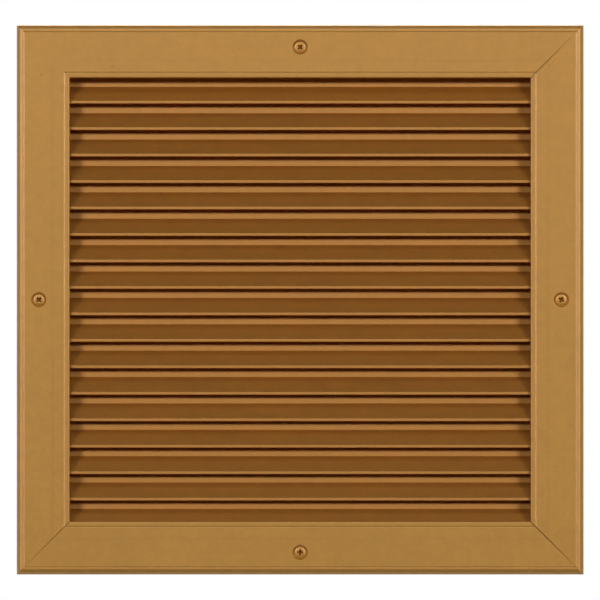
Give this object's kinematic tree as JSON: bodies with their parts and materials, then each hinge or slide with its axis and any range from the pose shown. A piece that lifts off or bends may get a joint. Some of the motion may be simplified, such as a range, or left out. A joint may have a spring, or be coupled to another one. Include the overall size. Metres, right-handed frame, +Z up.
{
  "type": "door transfer grille",
  "caption": "Rectangular door transfer grille: mitred bronze-enamelled frame with screwed flange and rear collar, holding horizontal sight-proof inverted-Y blades that let air pass.",
  "frame": {"origin": "centre of the grille, on the plane of the door's face", "axes": "+Z up, +Y into the door, face of the grille towards -Y, +X to the right seen from the front"},
  "size_m": [0.349, 0.0303, 0.3384],
  "materials": {
    "bronze_enamel": "satin metallic bronze enamel on aluminium",
    "mill_aluminium": "mill",
    "screw_steel": "zinc plated, heads enamelled like the frame"
  },
  "bodies": {
    "root": {"top_rail": "bronze_enamel", "bottom_rail": "bronze_enamel", "left_stile": "bronze_enamel", "right_stile": "bronze_enamel", "corner_key_top_left": "mill_aluminium", "corner_key_top_right": "mill_aluminium", "corner_key_bottom_left": "mill_aluminium", "corner_key_bottom_right": "mill_aluminium", "blade_01": "bronze_enamel", "blade_02": "bronze_enamel", "blade_03": "bronze_enamel", "blade_04": "bronze_enamel", "blade_05": "bronze_enamel", "blade_06": "bronze_enamel", "blade_07": "bronze_enamel", "blade_08": "bronze_enamel", "blade_09": "bronze_enamel", "blade_10": "bronze_enamel", "blade_11": "bronze_enamel", "blade_12": "bronze_enamel", "blade_13": "bronze_enamel", "blade_14": "bronze_enamel", "blade_15": "bronze_enamel", "blade_16": "bronze_enamel", "blade_17": "bronze_enamel", "left_blade_rack": "bronze_enamel", "right_blade_rack": "bronze_enamel", "rack_rivets": "mill_aluminium", "face_screws": "screw_steel"}
  },
  "joints": []
}
